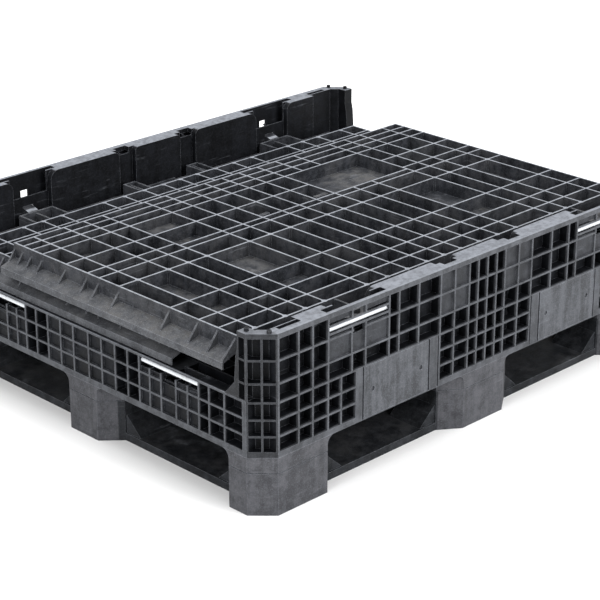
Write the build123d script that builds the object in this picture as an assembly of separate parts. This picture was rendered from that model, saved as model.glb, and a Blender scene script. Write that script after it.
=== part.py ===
"""Collapsible pallet box, walls folded flat on the nine-leg base."""
import os
from build123d import *

os.makedirs("parts", exist_ok=True)

# overall size
LENGTH = 1219.0
WIDTH = 1016.0
CORNER_H = 360.0
STUB_H = 229.0
CHAMFER = 40.0

# base levels
SEAM_Z = 87.0
DECK_UNDER = 117.0
DECK_Z0 = 144.0
DECK_TOP = 150.0
RUNNER_H = 16.0
FILLET = 18.0
LEG_WALL = 6.0

# wall sections of the base
RIB_T = 3.6
LATTICE_D = 24.0
BLOCK_Y = 40.0
RECESS = 5.0
PLATE_T = 3.0

# hinge rods
ROD_R = 4.2
ROD_IN = 9.0
ROD_HIGH_Z = 324.0
ROD_LOW_Z = 216.0
BORE_GAP = 0.05
EYE_R = 7.5
LONG_DROP = 36.0
SHORT_DROP = 38.0
EAR_X = (235.0, 261.0)

# folded wall panels
LONG_HALF = 566.0
LONG_NEAR = 110.0
LONG_FAR = 767.0
LONG_TOP_UPPER = 322.0
LONG_TOP_LOWER = LONG_TOP_UPPER - LONG_DROP
AXIS_RISE = ROD_HIGH_Z - LONG_TOP_UPPER
PANEL_D = 34.0
SKIN_T = 4.0
PANEL_RIB = 3.8
SHORT_HALF = 408.0
SHORT_NEAR = 62.0
SHORT_FAR = 879.0
EDGE = 40.7
INNER = 27.0
LIP_T = 4.0
BAR_T = 3.0
SHORT_TOP_UPPER = 224.0
SHORT_TOP_LOWER = SHORT_TOP_UPPER - SHORT_DROP
LOW_AXIS_RISE = ROD_LOW_Z - SHORT_TOP_UPPER

# rib positions, distances from the middle of the long side
COLS_TOP = [42.5, 92.5, 128.5, 168, 329, 356, 411, 473, 514, 556, 582, 609.5]
COLS_LOW = [42.5, 92.5, 128.5, 168, 202, 242]
COLS_MID = [473, 514, 556, 582, 609.5]
ROWS_TOP = [226, 263, 308, 352]
ROWS_LOW = [127, 159, 192, 226]
SHORT_COLS = [49, 98, 139, 167, 198, 230, 272, 304, 334, 368, 405, 445, 485]
SHORT_ROWS = [127, 160, 193, 227]
PANEL_COLS = [0, 51, 107, 164, 222, 338, 388, 440, 517]
PANEL_ROWS = [160, 213, 292, 439, 499, 601, 676, 710, 738]
JOG_ROW_OUTER = 535
JOG_ROW_INNER = 521

# flange fins: distance from the side, outer tip, drop of the apex below the panel top
FINS = [(112, 9, 3), (160, 13, 3), (213, 14, 3), (292, 15, 4)]
FINS += [(y, 20, 10) for y in (439, 499, 535, 601)]
FINS += [(y, 25, 11) for y in (676, 710, 738, 765)]


def bx(x0, x1, y0, y1, z0, z1):
    """Box from corner distances, measured from the base's near left corner."""
    size = Box(x1 - x0, y1 - y0, z1 - z0)
    return Pos((x0 + x1) / 2 - LENGTH / 2, (y0 + y1) / 2 - WIDTH / 2, (z0 + z1) / 2) * size


def prism(points, z0, z1):
    """Upright prism on a plan outline given from the near left corner."""
    moved = [(x - LENGTH / 2, y - WIDTH / 2) for x, y in points]
    face = make_face(Polyline(*moved, close=True))
    return Pos(0, 0, z0) * extrude(face, amount=z1 - z0)


def profile_x(points, x0, x1):
    """Prism along X on a (y, z) outline."""
    plane = Plane.YZ.offset(x0 - LENGTH / 2)
    moved = [(y - WIDTH / 2, z) for y, z in points]
    return extrude(plane * make_face(Polyline(*moved, close=True)), amount=x1 - x0)


def profile_y(points, y0, y1):
    """Prism along Y on an (x, z) outline."""
    plane = Plane.XZ.offset(WIDTH / 2 - y0)
    moved = [(x - LENGTH / 2, z) for x, z in points]
    return extrude(plane * make_face(Polyline(*moved, close=True)), amount=-(y1 - y0))


def rod_x(y, z, x0, x1, radius):
    """Round bar along X."""
    bar = Rot(0, 90, 0) * Cylinder(radius, x1 - x0)
    return Pos((x0 + x1) / 2 - LENGTH / 2, y - WIDTH / 2, z) * bar


def rod_y(x, z, y0, y1, radius):
    """Round bar along Y."""
    bar = Rot(90, 0, 0) * Cylinder(radius, y1 - y0)
    return Pos(x - LENGTH / 2, (y0 + y1) / 2 - WIDTH / 2, z) * bar


def both(values, span):
    """A half list and its mirror image about the middle of a side."""
    return sorted(set(values) | {round(span - v, 3) for v in values})


def mirror_x(shapes):
    return [s.mirror(Plane.YZ) for s in shapes]


def mirror_y(shapes):
    return [s.mirror(Plane.XZ) for s in shapes]


def four(shapes):
    """The shapes and their three mirror images."""
    pair = shapes + mirror_x(shapes)
    return pair + mirror_y(pair)


def cell(u0, u1, v0, v1):
    """Opening between two pairs of rib centrelines."""
    w = u1 - u0 - RIB_T
    h = v1 - v0 - RIB_T
    return Pos((u0 + u1) / 2, (v0 + v1) / 2) * Rectangle(w, h)


def grid_cells(cols, rows, shift):
    """Openings of a rib grid in face coordinates."""
    out = []
    for u0, u1 in zip(cols, cols[1:]):
        for v0, v1 in zip(rows, rows[1:]):
            out.append(cell(u0 - shift, u1 - shift, v0, v1))
    return out


# ---------------------------------------------------------------- long side of the base
def block(x0, x1, r0, r1):
    """Stiffening block on the inner face, with round shoulders where a radius is given."""
    solid = bx(x0, x1, 26, BLOCK_Y, DECK_TOP, CORNER_H)
    for corner, centre, r in ((x0, x0 + r0, r0), (x1, x1 - r1, r1)):
        if r:
            low, high = sorted((corner, centre))
            square = bx(low, high, 25, BLOCK_Y + 1, CORNER_H - r, CORNER_H + 1)
            solid = solid - (square - rod_y(centre, CORNER_H - r, 24, BLOCK_Y + 2, r))
    return solid


def long_side(drop):
    """Long side: rib grid, web, blocks, recessed plates and rod windows lowered by drop."""
    half = LENGTH / 2
    cells = grid_cells(both(COLS_TOP, LENGTH), ROWS_TOP, half)
    low = grid_cells(COLS_LOW, ROWS_LOW, half)
    low += [c.mirror(Plane.YZ) for c in grid_cells(COLS_LOW, ROWS_LOW, half)]
    low += grid_cells(both(COLS_MID, LENGTH), ROWS_LOW, half)
    face = Pos(0, (DECK_UNDER + CORNER_H) / 2) * Rectangle(LENGTH - 2 * EDGE, CORNER_H - DECK_UNDER)
    face = face - cells - low
    solid = extrude(Plane.XZ.offset(WIDTH / 2) * face, amount=-LATTICE_D)
    add = [bx(EDGE, LENGTH - EDGE, LATTICE_D - 0.5, INNER, DECK_UNDER, CORNER_H)]
    add += [block(112, 201, 0, 18), block(303, 496, 22, 14)]
    for x0, x1 in ((473, 514), (514, 556)):
        add.append(bx(x0, x1, RECESS, RECESS + PLATE_T, ROWS_TOP[1], ROWS_TOP[3]))
    for x0, x1 in ((170, 230), (230, 266), (266, 327)):
        add.append(bx(x0 + 0.8, x1 - 0.8, RECESS, RECESS + PLATE_T, 262 - drop, 316 - drop))
    add.append(bx(228.2, 231.8, 1, RECESS + PLATE_T, 262 - drop, 308 - drop))
    add.append(bx(264.2, 267.8, 1, RECESS + PLATE_T, 262 - drop, 308 - drop))
    for x in (230, 266):
        add.append(bx(x - RIB_T / 2, x + RIB_T / 2, 0, LATTICE_D, ROWS_TOP[0], ROWS_TOP[1]))
    add = [add[0], block(543, 676, 10, 10)] + add[1:] + mirror_x(add[1:])
    solid = solid + add
    # rod window, pocket behind it and gap for the hinge ear
    axis = ROD_HIGH_Z - drop
    back = RECESS + PLATE_T
    cut = [bx(169.8, 327.2, -1, LATTICE_D, axis - 14, axis + 14)]
    cut.append(bx(169.8, 327.2, back, LATTICE_D, axis - 8, CORNER_H + 1))
    low, top = (axis + 26, axis + 5) if drop else (axis - 22, CORNER_H)
    cut.append(bx(202, 300, LATTICE_D - 1, BLOCK_Y + 1, low, CORNER_H + 1))
    cut.append(bx(EAR_X[0] - 1, EAR_X[1] + 1, LATTICE_D - 1, BLOCK_Y + 1, axis - 22, top))
    cut.append(bx(202, 300, back, LATTICE_D, axis - 28, axis))
    cut.append(bx(234, 264, -1, LATTICE_D, 300 - drop, 317 - drop))
    # rim slots, grooves and the shallow frame of the label plate
    cut.append(bx(58, 112, 14, 25, 354, CORNER_H + 1))
    cut.append(bx(497, 533, 14, BLOCK_Y + 1, 346, CORNER_H + 1))
    cut.append(bx(258.5, 262, -1, 7, 118, 226))
    cut.append(bx(441, 445, -1, 8, 118, 226))
    cut.append(bx(467.5, 471, -1, 7, 118, 226))
    cut.append(bx(265, 440, -1, 3.0, 119, 225))
    solid = solid - cut - mirror_x(cut)
    # bars of the window frame and the recessed skin above it
    bars = [bx(168, 329, 0, BAR_T, z, z + RIB_T) for z in (axis - 7.6, axis + 8)]
    for x in (230, 266):
        bars.append(bx(x - RIB_T / 2, x + RIB_T / 2, 0, RECESS + 1, axis - 17, axis - 4))
    if drop:
        bars.append(bx(168, 329, RECESS, back, axis + 14, CORNER_H))
    else:
        for x0, x1, x in ((168, 230, 230), (266, 329, 266)):
            bars.append(bx(x0, x1, RECESS, back, axis + 14, CORNER_H))
            rib = bx(x - RIB_T / 2, x + RIB_T / 2, 0, RECESS + 1, axis + 8, CORNER_H - 8)
            bars.append(rib)
    solid = solid + bars + mirror_x(bars)
    if drop:
        hole = [bx(243.5, 262.5, RECESS - 1, back + 1, axis + 18, axis + 34)]
        hole.append(bx(243.5, 272, -1, RECESS, axis + 12, axis + 34))
        solid = solid - hole - mirror_x(hole)
    bore = rod_x(ROD_IN, axis, 167.2, 329.8, ROD_R + BORE_GAP)
    return solid - bore - bore.mirror(Plane.YZ)


# ---------------------------------------------------------------- short side of the base
def short_side(drop):
    """Short side: lower rib grid with recessed plates and rod windows lowered by drop."""
    half = WIDTH / 2
    cols = both(SHORT_COLS, WIDTH)
    face = Pos(0, (DECK_UNDER + STUB_H) / 2) * Rectangle(WIDTH - 2 * EDGE, STUB_H - DECK_UNDER)
    face = face - grid_cells(cols, SHORT_ROWS, half)
    solid = extrude(Plane.YZ.offset(-LENGTH / 2) * face, amount=LATTICE_D)
    add = [bx(LATTICE_D - 0.5, INNER, EDGE, WIDTH - EDGE, DECK_UNDER, STUB_H)]
    filled = [bx(RECESS, RECESS + PLATE_T, 405, WIDTH / 2, 127, 227)]
    filled.append(bx(RECESS, RECESS + PLATE_T, 167, 334, 127, 204 - drop))
    solid = solid + add + filled + mirror_y(filled)
    axis = ROD_LOW_Z - drop
    cut = [bx(LIP_T, LATTICE_D, 168.8, 332.2, axis - 8, STUB_H + 1)]
    cut.append(bx(-1, LATTICE_D, 168.8, 332.2, axis - 8, axis + 8.5))
    cut.append(bx(12, BLOCK_Y, 230, 274, axis - 30, STUB_H + 1))
    cut.append(bx(-1, RECESS + 4, 232, 270, axis - 26, axis - 7))
    solid = solid - cut - mirror_y(cut)
    bore = rod_y(ROD_IN, axis, 166.2, 334.8, ROD_R + BORE_GAP)
    return solid - bore - bore.mirror(Plane.XZ)


# ---------------------------------------------------------------- corner post
def corner_post():
    """Chamfered post with a rib grid on its outer faces and a flat cap."""
    outline = [(0, CHAMFER), (CHAMFER, 0), (EDGE, 0), (EDGE, INNER), (INNER, EDGE), (0, EDGE)]
    post = prism(outline, DECK_UNDER, CORNER_H) + bx(0, LATTICE_D, EDGE - 1, 62, STUB_H, CORNER_H)
    rows = [127, 159, 192, 226, 263, 308, 352]
    cut = []
    centre = Pos(CHAMFER / 2 - LENGTH / 2, CHAMFER / 2 - WIDTH / 2, 0) * Rot(0, 0, 45)
    for z0, z1 in zip(rows, rows[1:]):
        for side in (-13.5, 13.5):
            pocket = Box(32, 23.4, z1 - z0 - RIB_T)
            cut.append(centre * Pos(0, side, (z0 + z1) / 2) * pocket)
        if z0 > STUB_H - 10:
            cut.append(bx(-1, 20, 43.4, 58.5, max(z0, STUB_H) + RIB_T / 2, z1 - RIB_T / 2))
    post = post - cut
    spots = ((33, 14), (12, 50))
    bump = Pos(0, 0, CORNER_H + 2.5) * Cylinder(4.5, 7)
    bumps = [Pos(x - LENGTH / 2, y - WIDTH / 2, 0) * bump for x, y in spots]
    foot = [profile_x([(61, 229), (96, 229), (70, 258), (61, 296)], 0, RIB_T)]
    foot.append(profile_x([(61, 258), (61, 330), (66, 310), (70, 258)], 0, LATTICE_D))
    return post + bumps + foot


# ---------------------------------------------------------------- legs
CORNER_LEG = [(CHAMFER, 0), (167, 0), (199, 32), (199, 122), (40, 122), (0, 88), (0, CHAMFER)]
MID_LEG = [(549.5, 0), (669.5, 0), (715, 32), (715, 150), (504, 150), (504, 32)]
SIDE_LEG = [(0, 466), (0, 550), (40, 587), (190, 587), (190, 429), (40, 429)]
CENTRE_LEG = [(504, 429), (715, 429), (715, 587), (504, 587)]


def shell(points, z0, z1, wall, floor):
    """Hollow leg section, open at the top, with floor thickness below."""
    outer = prism(points, z0, z1)
    moved = [(x - LENGTH / 2, y - WIDTH / 2) for x, y in points]
    inner = offset(make_face(Polyline(*moved, close=True)), -wall)
    return outer - Pos(0, 0, z0 + floor) * extrude(inner, amount=z1 - z0)


def all_legs(z0, z1, wall, floor):
    """Nine leg sections between two heights."""
    legs = four([shell(CORNER_LEG, z0, z1, wall, floor)])
    mid = shell(MID_LEG, z0, z1, wall, floor)
    side = shell(SIDE_LEG, z0, z1, wall, floor)
    legs += [mid] + mirror_y([mid]) + [side] + mirror_x([side])
    legs.append(shell(CENTRE_LEG, z0, z1, wall, floor))
    return legs


def leg_fillets():
    """Rounded upper corners of the fork openings, on the outer skin."""
    z0 = DECK_UNDER - FILLET
    shapes = []
    for x, way in ((167, 1), (549.5, -1)):
        far = x + way * FILLET
        low, high = sorted((x - way, far))
        square = bx(low, high, 0, LEG_WALL, z0, DECK_UNDER)
        shapes.append(square - rod_y(far, z0, -1, LEG_WALL + 1, FILLET))
    for y, way in ((88, 1), (466, -1)):
        far = y + way * FILLET
        low, high = sorted((y - way, far))
        square = bx(0, LEG_WALL, low, high, z0, DECK_UNDER)
        shapes.append(square - rod_x(far, z0, -1, LEG_WALL + 1, FILLET))
    return four(shapes)


# ---------------------------------------------------------------- deck
def deck():
    """Deck plate with its underside ribs and the upper halves of the legs."""
    plate = bx(INNER, LENGTH - INNER, INNER, WIDTH - INNER, DECK_Z0, DECK_TOP)
    ribs = []
    for x in (204, 352, 500, 719, 867, 1015):
        ribs.append(bx(x - 2.5, x + 2.5, INNER, WIDTH - INNER, DECK_UNDER, DECK_Z0 + 1))
    for y in (154, 290, 425, 591, 726, 862):
        ribs.append(bx(INNER, LENGTH - INNER, y - 2.5, y + 2.5, DECK_UNDER, DECK_Z0 + 1))
    core = bx(INNER, LENGTH - INNER, INNER, WIDTH - INNER, SEAM_Z, DECK_Z0 + 1)
    necks = [leg & core for leg in all_legs(DECK_UNDER - 1, DECK_Z0 + 1, LEG_WALL, -1)]
    corners = four([prism([(20, 20), (48.3, 20), (20, 48.3)], DECK_UNDER, DECK_TOP + 1)])
    legs = all_legs(SEAM_Z, DECK_UNDER, LEG_WALL, -1) + leg_fillets()
    return plate + ribs + necks + legs - corners


# ---------------------------------------------------------------- skid
def skid():
    """Lower leg halves joined by a flat runner frame."""
    legs = all_legs(0, SEAM_Z - 2, 6, 6)
    top = []
    for points in (CORNER_LEG, MID_LEG, SIDE_LEG, CENTRE_LEG):
        moved = [(x - LENGTH / 2, y - WIDTH / 2) for x, y in points]
        face = make_face(Polyline(*moved, close=True))
        ring = offset(face, -1.5) - offset(face, -6)
        top.append(Pos(0, 0, SEAM_Z - 2.5) * extrude(ring, amount=2.5))
    corner, mid, side, centre = top
    rings = four([corner]) + [mid] + mirror_y([mid]) + [side] + mirror_x([side]) + [centre]
    runs = [bx(190, 510, 32, 150, 0, RUNNER_H), bx(40, 190, 118, 435, 0, RUNNER_H)]
    ramp = 46.0
    rise = 40.0
    for x0, way in ((196, 1), (507, -1)):
        pts = [(x0, RUNNER_H - 1), (x0 + way * ramp, RUNNER_H - 1), (x0, RUNNER_H + rise)]
        runs.append(profile_y(pts, 36, 118))
    for y0, way in ((119, 1), (432, -1)):
        pts = [(y0, RUNNER_H - 1), (y0 + way * ramp, RUNNER_H - 1), (y0, RUNNER_H + rise)]
        runs.append(profile_x(pts, 44, 186))
    runs = four(runs)
    runs.append(bx(186, 508, 445, 571, 0, RUNNER_H))
    runs.append(bx(711, 1033, 445, 571, 0, RUNNER_H))
    runs.append(bx(525, 694, 146, 433, 0, RUNNER_H))
    runs.append(bx(525, 694, 583, 870, 0, RUNNER_H))
    solid = legs[0] + legs[1:] + rings + runs
    inner = []
    for points in (CORNER_LEG, MID_LEG, SIDE_LEG, CENTRE_LEG):
        moved = [(x - LENGTH / 2, y - WIDTH / 2) for x, y in points]
        face = offset(make_face(Polyline(*moved, close=True)), -6)
        inner.append(Pos(0, 0, 6) * extrude(face, amount=SEAM_Z))
    c, m, s, k = inner
    holes = four([c]) + [m] + mirror_y([m]) + [s] + mirror_x([s]) + [k]
    return solid - holes


# ---------------------------------------------------------------- long wall panel
def long_panel(top):
    """Long wall lying flat: skin, rib grid, side flanges, skirt and hinge arms."""
    z0 = top - PANEL_D
    mid = LENGTH / 2
    cols = [0.0] + sorted(PANEL_COLS[1:])
    xs = sorted([-c for c in cols if c] + cols)
    xs = [-LONG_HALF + PANEL_RIB / 2] + xs + [LONG_HALF - PANEL_RIB / 2]
    ys = [LONG_NEAR + PANEL_RIB / 2] + PANEL_ROWS + [LONG_FAR - PANEL_RIB / 2]
    r = PANEL_RIB / 2
    low = z0 + SKIN_T - 0.5
    skin = bx(mid - LONG_HALF, mid + LONG_HALF, LONG_NEAR, LONG_FAR, z0, z0 + SKIN_T)
    ribs = []
    for x in xs:
        if x in (164, 222):
            ribs.append(bx(mid + x - r, mid + x + r, LONG_NEAR, JOG_ROW_INNER, low, top))
            ribs.append(bx(mid + x - r, mid + x + r, 676, LONG_FAR, low, top))
        else:
            ribs.append(bx(mid + x - r, mid + x + r, LONG_NEAR, LONG_FAR, low, top))
    for y in ys:
        if y == 601:
            ribs.append(bx(mid - LONG_HALF, mid + 107, y - r, y + r, low, top))
            ribs.append(bx(mid + 338, mid + LONG_HALF, y - r, y + r, low, top))
        else:
            ribs.append(bx(mid - LONG_HALF, mid + LONG_HALF, y - r, y + r, low, top))
    for side in (-1, 1):
        a = mid + side * 338
        b = mid + side * LONG_HALF
        ribs.append(bx(min(a, b), max(a, b), JOG_ROW_OUTER - r, JOG_ROW_OUTER + r, low, top))
    ribs.append(bx(mid - 338, mid + 338, JOG_ROW_INNER - r, JOG_ROW_INNER + r, low, top))
    floors = [bx(mid + 107, mid + 290, 530, 600, low, z0 + 14)]
    floors.append(bx(mid + 222, mid + 275, 292, 380, low, z0 + 16))
    floors.append(bx(mid - 338, mid - 292, 292, 370, low, z0 + 16))
    floors.append(bx(mid - 338, mid - 222, 601, 676, low, z0 + 12))
    bosses = []
    for x in xs[1:-1]:
        for y in (LONG_NEAR + 4, 439):
            bosses.append(Pos(x, y - WIDTH / 2, (low + top) / 2) * Cylinder(5.4, top - low))
    tabs = []
    for x in (-89, 89):
        for y in (446, 544):
            tabs.append(bx(mid + x - 20, mid + x + 20, y - 5, y + 5, top - 8, top - 5))
            tabs.append(bx(mid + x - 6, mid + x + 6, y - 3, y + 3, low, top - 5))
    # side flanges: sloped shelf, lip and gussets
    x_in = mid - LONG_HALF + 1
    shelf = [(x_in, top - 30), (8, top - 42), (8, top - 56), (11, top - 56)]
    shelf += [(11, top - 44.5), (x_in, top - 33)]
    flange = [profile_y(shelf, LONG_NEAR, LONG_FAR)]
    for y, tip, drop in FINS:
        slope = 12 / (x_in - 8)
        tri = [(x_in, top - drop), (x_in, top - 32), (tip, top - 32 - slope * (x_in - tip))]
        if tip < 10:
            tri.append((tip, top - 39))
        flange.append(profile_y(tri, y - r, y + r))
    flange = flange + mirror_x(flange)
    # skirt and tongues on the hinge edge
    edge = [bx(mid - 545, mid + 545, 46, LONG_NEAR + 1, z0, z0 + 8)]
    for c, w in ((356.5, 90), (94.5, 34)):
        for side in (-1, 1):
            x = mid + side * c
            edge.append(bx(x - w / 2, x - w / 2 + 4, 46, LONG_NEAR + 1, z0, top - 2))
            edge.append(bx(x + w / 2 - 4, x + w / 2, 46, LONG_NEAR + 1, z0, top - 2))
            edge.append(bx(x - w / 2, x + w / 2, 46, 50, z0, top - 2))
            edge.append(bx(x - 2, x + 2, 46, LONG_NEAR + 1, z0, top - 6))
    edge.append(bx(mid - 40, mid + 40, 46, 50, z0, z0 + 12))
    solid = skin + ribs + floors + bosses + tabs + flange + edge
    # half eyes behind the hinge rods, on one ear at each hinge
    axis = top + AXIS_RISE
    ears = []
    bores = [rod_x(ROD_IN, axis, 200, 310, ROD_R + BORE_GAP)]
    bores.append(bx(200, 310, 0, ROD_IN, axis - 20, axis + 20))
    arm = [(ROD_IN, axis - EYE_R + 0.5), (49, z0 + 2), (49, top - 3)]
    arm.append((ROD_IN, axis + EYE_R - 1.5))
    ears.append(profile_x(arm, *EAR_X))
    ears.append(rod_x(ROD_IN, axis, *EAR_X, EYE_R))
    return solid + ears + mirror_x(ears) - bores - mirror_x(bores)


# ---------------------------------------------------------------- short wall panel
def short_panel(top):
    """Short wall lying flat: skin, rib grid and knuckles on the low rods."""
    z0 = top - PANEL_D
    mid = WIDTH / 2
    r = PANEL_RIB / 2
    low = z0 + SKIN_T - 0.5
    skin = bx(SHORT_NEAR, SHORT_FAR, mid - SHORT_HALF, mid + SHORT_HALF, z0, z0 + SKIN_T)
    ribs = []
    for y in (-406.4, -330, -256, -180, -90, 0, 90, 180, 256, 330, 406.4):
        ribs.append(bx(SHORT_NEAR, SHORT_FAR, mid + y - r, mid + y + r, low, top))
    for x in (63.6, 110, 170, 240, 320, 410, 500, 590, 680, 760, 820, 850, 877.4):
        ribs.append(bx(x - r, x + r, mid - SHORT_HALF, mid + SHORT_HALF, low, top))
    solid = skin + ribs
    axis = top + LOW_AXIS_RISE
    knuckles = []
    bores = []
    for y in (mid - 256, mid + 256):
        arm = [(ROD_IN, axis - EYE_R + 1), (64, z0 + 1), (64, top - 1), (ROD_IN, axis + EYE_R - 1)]
        knuckles.append(profile_y(arm, y - 18, y + 18))
        knuckles.append(rod_y(ROD_IN, axis, y - 18, y + 18, EYE_R))
        bores.append(rod_y(ROD_IN, axis, y - 20, y + 20, ROD_R + BORE_GAP))
        bores.append(bx(0, ROD_IN, y - 20, y + 20, axis - 20, axis + 20))
    return solid + knuckles - bores


# ---------------------------------------------------------------- small pieces
def label_plate():
    """Smooth plate sunk in the long side, with two pin holes."""
    plate = bx(265.3, 439.7, 0.4, 3.0, 119.3, 224.7)
    holes = []
    for x in (287, 420):
        hole = Rot(90, 0, 0) * Cylinder(5.0, 8)
        holes.append(Pos(x - LENGTH / 2, 2 - WIDTH / 2, 174) * hole)
    return plate - holes


def save(shape, name):
    export_step(shape, os.path.join("parts", name + ".step"))


front = long_panel(LONG_TOP_UPPER)
rear = long_panel(LONG_TOP_LOWER).mirror(Plane.XZ)
left = short_panel(SHORT_TOP_UPPER)
right = short_panel(SHORT_TOP_LOWER).mirror(Plane.YZ)
post = corner_post()
save(deck(), "deck")
for name, shape in (
    ("side_front", long_side(0)),
    ("side_rear", long_side(LONG_DROP).mirror(Plane.XZ)),
    ("side_left", short_side(0)),
    ("side_right", short_side(SHORT_DROP).mirror(Plane.YZ)),
    ("corner_post_front_left", post),
    ("corner_post_front_right", post.mirror(Plane.YZ)),
    ("corner_post_rear_left", post.mirror(Plane.XZ)),
    ("corner_post_rear_right", post.mirror(Plane.XZ).mirror(Plane.YZ)),
):
    save(shape, name)
save(skid(), "skid_frame")
save(front, "wall_front")
save(rear, "wall_rear")
save(left, "wall_left")
save(right, "wall_right")

for name, drop in (("front", 0), ("rear", LONG_DROP)):
    rod = rod_x(ROD_IN, ROD_HIGH_Z - drop, 167.4, 329.6, ROD_R)
    if name == "rear":
        rod = rod.mirror(Plane.XZ)
    save(rod, "hinge_rod_" + name + "_left")
    save(rod.mirror(Plane.YZ), "hinge_rod_" + name + "_right")
for name, drop in (("left", 0), ("right", SHORT_DROP)):
    rod = rod_y(ROD_IN, ROD_LOW_Z - drop, 166.4, 334.6, ROD_R)
    if name == "right":
        rod = rod.mirror(Plane.YZ)
    save(rod, "hinge_rod_" + name + "_near")
    save(rod.mirror(Plane.XZ), "hinge_rod_" + name + "_far")

plate = label_plate()
for name, shape in (
    ("label_plate_front_left", plate),
    ("label_plate_front_right", plate.mirror(Plane.YZ)),
    ("label_plate_rear_left", plate.mirror(Plane.XZ)),
    ("label_plate_rear_right", plate.mirror(Plane.XZ).mirror(Plane.YZ)),
):
    save(shape, name)
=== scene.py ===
import math

import bpy
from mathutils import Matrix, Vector

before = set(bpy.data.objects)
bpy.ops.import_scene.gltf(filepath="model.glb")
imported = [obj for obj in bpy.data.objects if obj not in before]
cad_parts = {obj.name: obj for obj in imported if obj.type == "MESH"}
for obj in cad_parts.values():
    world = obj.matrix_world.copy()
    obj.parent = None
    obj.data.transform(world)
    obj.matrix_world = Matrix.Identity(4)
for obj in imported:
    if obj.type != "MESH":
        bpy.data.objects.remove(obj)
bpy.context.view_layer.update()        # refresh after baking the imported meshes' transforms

# half sizes of the outer envelope and the corner posts' chamfer, metres
HALF_X = 0.6095
HALF_Y = 0.508
CHAMFER = 0.040

# heights of the tops that get the painted highlight, metres
POST_TOP = 0.360
STUB_TOP = 0.229
FRONT_WALL_TOP = 0.322
REAR_WALL_TOP = 0.286
LOW_WALL_TOP = 0.224
NO_TOP = 0.5

# depth of a wall's side flange, counted as outside
FLANGE_DEPTH = 0.044

# material settings, metres where they are lengths
MASK_EDGE = 0.0025
EDGE_WEAR_AND_HIGHLIGHT_RADIUS = 0.0013
BUMP_HEIGHT = 0.0008
PLASTIC_SPECULAR = 0.12
LEVEL_FROM = 0.75
LEVEL_TO = 0.95


# ---------------------------------------------------------------- node helpers
class Graph:
    """Small helper that adds shader nodes and links to one material."""

    def __init__(self, name):
        self.mat = bpy.data.materials.new(name)
        self.mat.use_nodes = True
        self.tree = self.mat.node_tree
        self.bsdf = self.tree.nodes["Principled BSDF"]

    def node(self, kind, **props):
        made = self.tree.nodes.new(kind)
        for key, value in props.items():
            setattr(made, key, value)
        return made

    def link(self, source, target):
        self.tree.links.new(source, target)

    def feed(self, socket, value):
        if hasattr(value, "is_output"):
            self.link(value, socket)
        else:
            socket.default_value = value

    def math(self, op, a, b=0.0, c=0.0):
        made = self.node("ShaderNodeMath", operation=op)
        for socket, value in zip(made.inputs, (a, b, c)):
            self.feed(socket, value)
        return made.outputs[0]

    def ramp(self, value, low, high, to_low=0.0, to_high=1.0):
        made = self.node("ShaderNodeMapRange", interpolation_type="SMOOTHSTEP")
        for socket, v in zip(made.inputs, (value, low, high, to_low, to_high)):
            self.feed(socket, v)
        return made.outputs[0]

    def mix(self, fac, a, b):
        made = self.node("ShaderNodeMix", data_type="RGBA")
        self.feed(made.inputs["Factor"], fac)
        self.feed(made.inputs["A"], a)
        self.feed(made.inputs["B"], b)
        return made.outputs["Result"]

    def noise(self, vector, scale, detail=4.0, rough=0.55, stretch=None):
        if stretch is not None:
            mapping = self.node("ShaderNodeMapping")
            mapping.inputs["Scale"].default_value = stretch
            self.link(vector, mapping.inputs["Vector"])
            vector = mapping.outputs["Vector"]
        made = self.node("ShaderNodeTexNoise")
        self.link(vector, made.inputs["Vector"])
        made.inputs["Scale"].default_value = scale
        made.inputs["Detail"].default_value = detail
        made.inputs["Roughness"].default_value = rough
        return made.outputs["Fac"]


def rgb(r, g, b):
    return (r, g, b, 1.0)


def scaled(colour, factor):
    return rgb(*(c * factor for c in colour[:3]))


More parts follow.
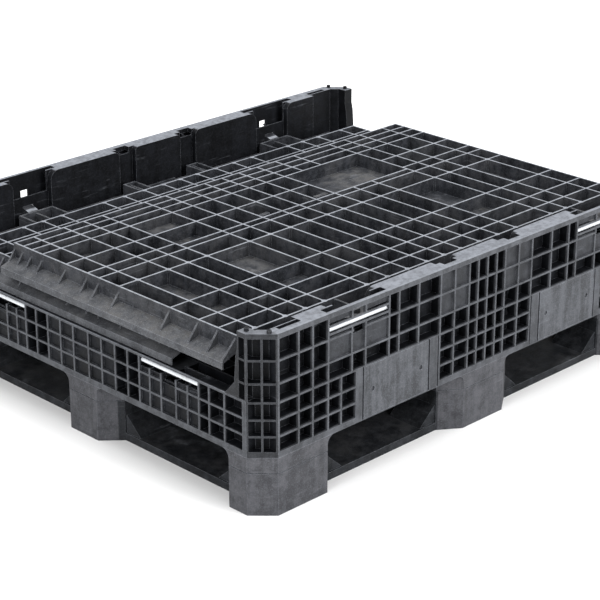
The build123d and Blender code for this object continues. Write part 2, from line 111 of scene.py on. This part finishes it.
def plastic(
    name, inner_shade, outer, light, inset, top_z, dusty=0.0, streak=0.3, ends=True, rim=False
):
    """Moulded polyethylene: inside pushed to near black as painted shade in the cells, cloudy
    scuffing outside, painted highlight on rib tops, and light edges that are partly wear and
    partly painted highlight.

    Outside is what lies within inset of the planes of the two short sides, and of the two long
    sides if ends is set. With rim, the painted top highlight is kept to the outside part of the
    top.
    """
    g = Graph(name)
    coord = g.node("ShaderNodeTexCoord")
    pos = coord.outputs["Object"]
    place = g.node("ShaderNodeSeparateXYZ")
    g.link(pos, place.inputs[0])
    face = g.node("ShaderNodeSeparateXYZ")
    g.link(coord.outputs["Normal"], face.inputs[0])
    ax = g.math("ABSOLUTE", place.outputs["X"])
    ay = g.math("ABSOLUTE", place.outputs["Y"])
    out_x = g.ramp(ax, HALF_X - inset, HALF_X - inset + MASK_EDGE)
    out_y = g.ramp(ay, HALF_Y - inset, HALF_Y - inset + MASK_EDGE) if ends else 0.0
    cut_plane = HALF_X + HALF_Y - CHAMFER
    out_corner = g.ramp(g.math("ADD", ax, ay), cut_plane - 0.0035, cut_plane - 0.001)
    outside = g.math("MAXIMUM", g.math("MAXIMUM", out_x, out_y), out_corner)
    blotch = g.noise(pos, 8.0, 8.0, 0.7)
    mottle = g.noise(pos, 42.0, 8.0, 0.72)
    fine = g.noise(pos, 130.0, 6.0, 0.68)
    runs = g.noise(pos, 1.0, 5.0, 0.6, (52.0, 52.0, 3.0))
    drag = g.noise(pos, 1.0, 4.0, 0.7, (9.0, 9.0, 160.0))
    # cloudy scuffing
    cloud = g.math("MULTIPLY_ADD", mottle, 0.5, g.math("MULTIPLY", blotch, 0.35))
    cloud = g.math("MULTIPLY_ADD", fine, 0.15, cloud)
    cloud = g.math("MULTIPLY_ADD", g.math("SUBTRACT", runs, 0.5), streak, cloud)
    cloud = g.ramp(cloud, 0.40, 0.61)
    shell = g.mix(cloud, scaled(outer, 0.62), scaled(outer, 1.32))
    # faces away from the outer skin take the near-black colour: painted shade in cells and
    # recesses, over the plastic's own darker tone
    inner_shade_colour = g.mix(cloud, scaled(inner_shade, 0.7), scaled(inner_shade, 2.3))
    colour = g.mix(outside, inner_shade_colour, shell)
    # dust, thick on level faces and in patches on upright ones
    up = g.ramp(face.outputs["Z"], LEVEL_FROM, LEVEL_TO)
    patch = g.math("MULTIPLY_ADD", blotch, 0.55, g.math("MULTIPLY", mottle, 0.45))
    settle = g.ramp(face.outputs["Z"], LEVEL_FROM, LEVEL_TO, 0.45, 1.0)
    dust = g.math("MULTIPLY", settle, g.ramp(patch, 0.43, 0.62))
    colour = g.mix(g.math("MULTIPLY", dust, dusty), colour, DUST)
    # painted highlight on the upward faces of the rib tops, mottled
    from_below = g.ramp(place.outputs["Z"], top_z - 0.0022, top_z - 0.0006)
    from_above = g.ramp(place.outputs["Z"], top_z + 0.0005, top_z + 0.0015, 1.0, 0.0)
    top_highlight_mask = g.math("MULTIPLY", g.math("MULTIPLY", up, from_below), from_above)
    if rim:
        top_highlight_mask = g.math("MULTIPLY", top_highlight_mask, outside)
    top_highlight_noise = g.math("ADD", g.math("MULTIPLY", mottle, 0.5), g.math("MULTIPLY", fine, 0.5))
    top_highlight_amount = g.math("MULTIPLY_ADD", g.ramp(top_highlight_noise, 0.38, 0.6), 0.45, 0.5)
    colour = g.mix(g.math("MULTIPLY", top_highlight_mask, top_highlight_amount), colour, light)
    # lighter corners: partly wear, partly painted highlight where edges catch the light
    soft = g.node("ShaderNodeBevel", samples=4)
    soft.inputs["Radius"].default_value = EDGE_WEAR_AND_HIGHLIGHT_RADIUS
    geo = g.node("ShaderNodeNewGeometry")
    dot = g.node("ShaderNodeVectorMath", operation="DOT_PRODUCT")
    g.link(soft.outputs[0], dot.inputs[0])
    g.link(geo.outputs["Normal"], dot.inputs[1])
    edge_wear_and_highlight = g.ramp(dot.outputs["Value"], 0.995, 0.8)
    edge_wear_and_highlight = g.math("MULTIPLY", edge_wear_and_highlight, g.ramp(fine, 0.32, 0.6, 0.2, 0.85))
    colour = g.mix(edge_wear_and_highlight, colour, light)
    # fine specks and scratches
    speck = g.ramp(g.noise(pos, 360.0, 4.0, 0.75), 0.48, 0.68)
    speck_amount = g.math("MULTIPLY_ADD", outside, 0.14, 0.05 + 0.1 * dusty)
    colour = g.mix(g.math("MULTIPLY", speck, speck_amount), colour, light)
    scuff = g.math("MULTIPLY", g.ramp(drag, 0.58, 0.7), g.ramp(blotch, 0.45, 0.6))
    colour = g.mix(g.math("MULTIPLY", scuff, 0.3), colour, light)
    g.link(colour, g.bsdf.inputs["Base Color"])
    shine = g.math("MULTIPLY_ADD", fine, 0.24, 0.4)
    g.link(g.math("MULTIPLY_ADD", cloud, 0.14, shine), g.bsdf.inputs["Roughness"])
    g.bsdf.inputs["Specular IOR Level"].default_value = PLASTIC_SPECULAR
    grain = g.noise(pos, 620.0, 3.0, 0.6)
    wave = g.noise(pos, 26.0, 2.0, 0.5)
    height = g.math("MULTIPLY_ADD", wave, 1.6, grain)
    height = g.math("MULTIPLY_ADD", mottle, 1.4, height)
    bump = g.node("ShaderNodeBump")
    bump.inputs["Strength"].default_value = 0.45
    bump.inputs["Distance"].default_value = BUMP_HEIGHT
    g.link(height, bump.inputs["Height"])
    g.link(bump.outputs["Normal"], g.bsdf.inputs["Normal"])
    return g.mat


def rod_finish():
    """White coated bar with faint scuffs along its length."""
    g = Graph("rod_white_coat")
    pos = g.node("ShaderNodeTexCoord").outputs["Object"]
    cloud = g.noise(pos, 30.0, 5.0, 0.6)
    line = g.noise(pos, 1.0, 3.0, 0.6, (22.0, 22.0, 420.0))
    dirt = g.math("MULTIPLY", g.ramp(cloud, 0.5, 0.75), g.ramp(line, 0.45, 0.7))
    g.link(g.mix(dirt, COAT, COAT_DIRT), g.bsdf.inputs["Base Color"])
    g.link(g.math("MULTIPLY_ADD", cloud, 0.2, 0.24), g.bsdf.inputs["Roughness"])
    bump = g.node("ShaderNodeBump")
    bump.inputs["Strength"].default_value = 0.2
    bump.inputs["Distance"].default_value = 0.0003
    g.link(line, bump.inputs["Height"])
    g.link(bump.outputs["Normal"], g.bsdf.inputs["Normal"])
    return g.mat


# the near-black colours below are painted shade for cells, pockets and undersides, over the
# plastic's own darker tone
INNER_SHADE = rgb(0.003, 0.0034, 0.0045)
PANEL_INNER_SHADE = rgb(0.017, 0.0185, 0.0225)
SKID_INNER_SHADE = rgb(0.010, 0.011, 0.013)
MID = rgb(0.060, 0.063, 0.070)
LEG = rgb(0.059, 0.060, 0.067)
# PALE and RIM are the light colour: painted highlight on rib tops and edges, and also wear on
# edges, specks and scuffs
PALE = rgb(0.26, 0.275, 0.305)
RIM = rgb(0.20, 0.212, 0.238)
DUST = rgb(0.078, 0.075, 0.071)
COAT = rgb(0.64, 0.665, 0.70)
COAT_DIRT = rgb(0.36, 0.36, 0.355)

side_long = plastic("long_side_plastic", INNER_SHADE, MID, RIM, 0.0062, POST_TOP)
side_short = plastic("short_side_plastic", INNER_SHADE, MID, RIM, 0.004, STUB_TOP, rim=True)
# posts' outer colour at 0.45 and light colour at 0.72: painted shade, as the chamfer faces turn
# away from the key light
post = plastic("post_plastic", INNER_SHADE, scaled(MID, 0.45), scaled(RIM, 0.72), 0.002, POST_TOP)
deck = plastic("deck_plastic", INNER_SHADE, LEG, RIM, 0.040, NO_TOP, dusty=0.3)
skid = plastic("skid_plastic", SKID_INNER_SHADE, LEG, RIM, 0.031, NO_TOP, dusty=0.25)
front_wall = plastic(
    "top_wall_plastic", PANEL_INNER_SHADE, MID, PALE, FLANGE_DEPTH, FRONT_WALL_TOP, 0.75, ends=False
)
rear_wall = plastic(
    "rear_wall_plastic", PANEL_INNER_SHADE, MID, PALE, FLANGE_DEPTH, REAR_WALL_TOP, 0.4, ends=False
)
# low walls: inset 0 gives every face the near-black painted shade, and the painted highlight
# colour is cut to a fifth of PALE
low_wall = plastic(
    "low_wall_plastic", INNER_SHADE, MID, scaled(PALE, 0.2), 0.0, LOW_WALL_TOP, ends=False
)
label_plate = plastic("plate_plastic", MID, MID, PALE, 0.02, NO_TOP, streak=0.7)
rod = rod_finish()

# the first start that fits a node's name gives its material
FINISH_BY_START = (
    ("hinge_rod", rod),
    ("side_front", side_long),
    ("side_rear", side_long),
    ("side_", side_short),
    ("corner_post", post),
    ("deck", deck),
    ("skid_frame", skid),
    ("wall_front", front_wall),
    ("wall_rear", rear_wall),
    ("wall_", low_wall),
    ("label_plate", label_plate),
)

for name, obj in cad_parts.items():
    mat = next(finish for start, finish in FINISH_BY_START if name.startswith(start))
    if not obj.material_slots:
        obj.data.materials.append(mat)
    for slot in obj.material_slots:
        slot.material = mat


# ---------------------------------------------------------------- floor
FLOOR_HALF = 14.0
FLOOR_LOW = rgb(0.92, 0.92, 0.92)
FLOOR_HIGH = rgb(0.95, 0.95, 0.95)


def floor():
    mesh = bpy.data.meshes.new("studio_floor")
    half = FLOOR_HALF
    corners = [(-half, -half, 0), (half, -half, 0), (half, half, 0), (-half, half, 0)]
    mesh.from_pydata(corners, [], [(0, 1, 2, 3)])
    obj = bpy.data.objects.new("studio_floor", mesh)
    bpy.context.collection.objects.link(obj)
    g = Graph("pale_floor")
    pos = g.node("ShaderNodeTexCoord").outputs["Object"]
    cloud = g.noise(pos, 2.0, 4.0, 0.5)
    g.link(g.mix(cloud, FLOOR_LOW, FLOOR_HIGH), g.bsdf.inputs["Base Color"])
    g.link(g.math("MULTIPLY_ADD", cloud, 0.1, 0.8), g.bsdf.inputs["Roughness"])
    g.bsdf.inputs["Specular IOR Level"].default_value = 0.1
    mesh.materials.append(g.mat)


floor()


# ---------------------------------------------------------------- light and camera
def area(name, place, target, size, power):
    data = bpy.data.lights.new(name, "AREA")
    data.shape = "SQUARE"
    data.size = size
    data.energy = power
    obj = bpy.data.objects.new(name, data)
    bpy.context.collection.objects.link(obj)
    obj.location = place
    obj.rotation_euler = (Vector(target) - Vector(place)).to_track_quat("-Z", "Y").to_euler()


area("key_right", (0.9, -4.2, 2.2), (0.0, 0.0, 0.2), 2.6, 170.0)
area("top", (0.5, 0.7, 4.2), (0.0, 0.0, 0.3), 3.4, 190.0)
area("fill_left", (-4.2, -0.6, 2.4), (0.0, 0.0, 0.2), 3.0, 95.0)

world = bpy.data.worlds.new("studio")
bpy.context.scene.world = world
world.use_nodes = True
back = world.node_tree.nodes["Background"]
back.inputs["Color"].default_value = rgb(1.0, 1.0, 1.0)
back.inputs["Strength"].default_value = 0.8

CAMERA_PLACE = (-2.7436, -2.7592, 1.7284)
CAMERA_PITCH = 0.394653
CAMERA_YAW = 0.790299

camera = bpy.data.cameras.new("camera")
camera.sensor_width = 36.0
camera.lens = 117.3
camera.clip_end = 60.0
cam = bpy.data.objects.new("camera", camera)
bpy.context.collection.objects.link(cam)
cam.location = CAMERA_PLACE
level = math.cos(CAMERA_PITCH)
aim = Vector((
    math.cos(CAMERA_YAW) * level,
    math.sin(CAMERA_YAW) * level,
    -math.sin(CAMERA_PITCH),
))
cam.rotation_euler = aim.to_track_quat("-Z", "Y").to_euler()
bpy.context.scene.camera = cam
bpy.context.scene.view_settings.view_transform = "Standard"
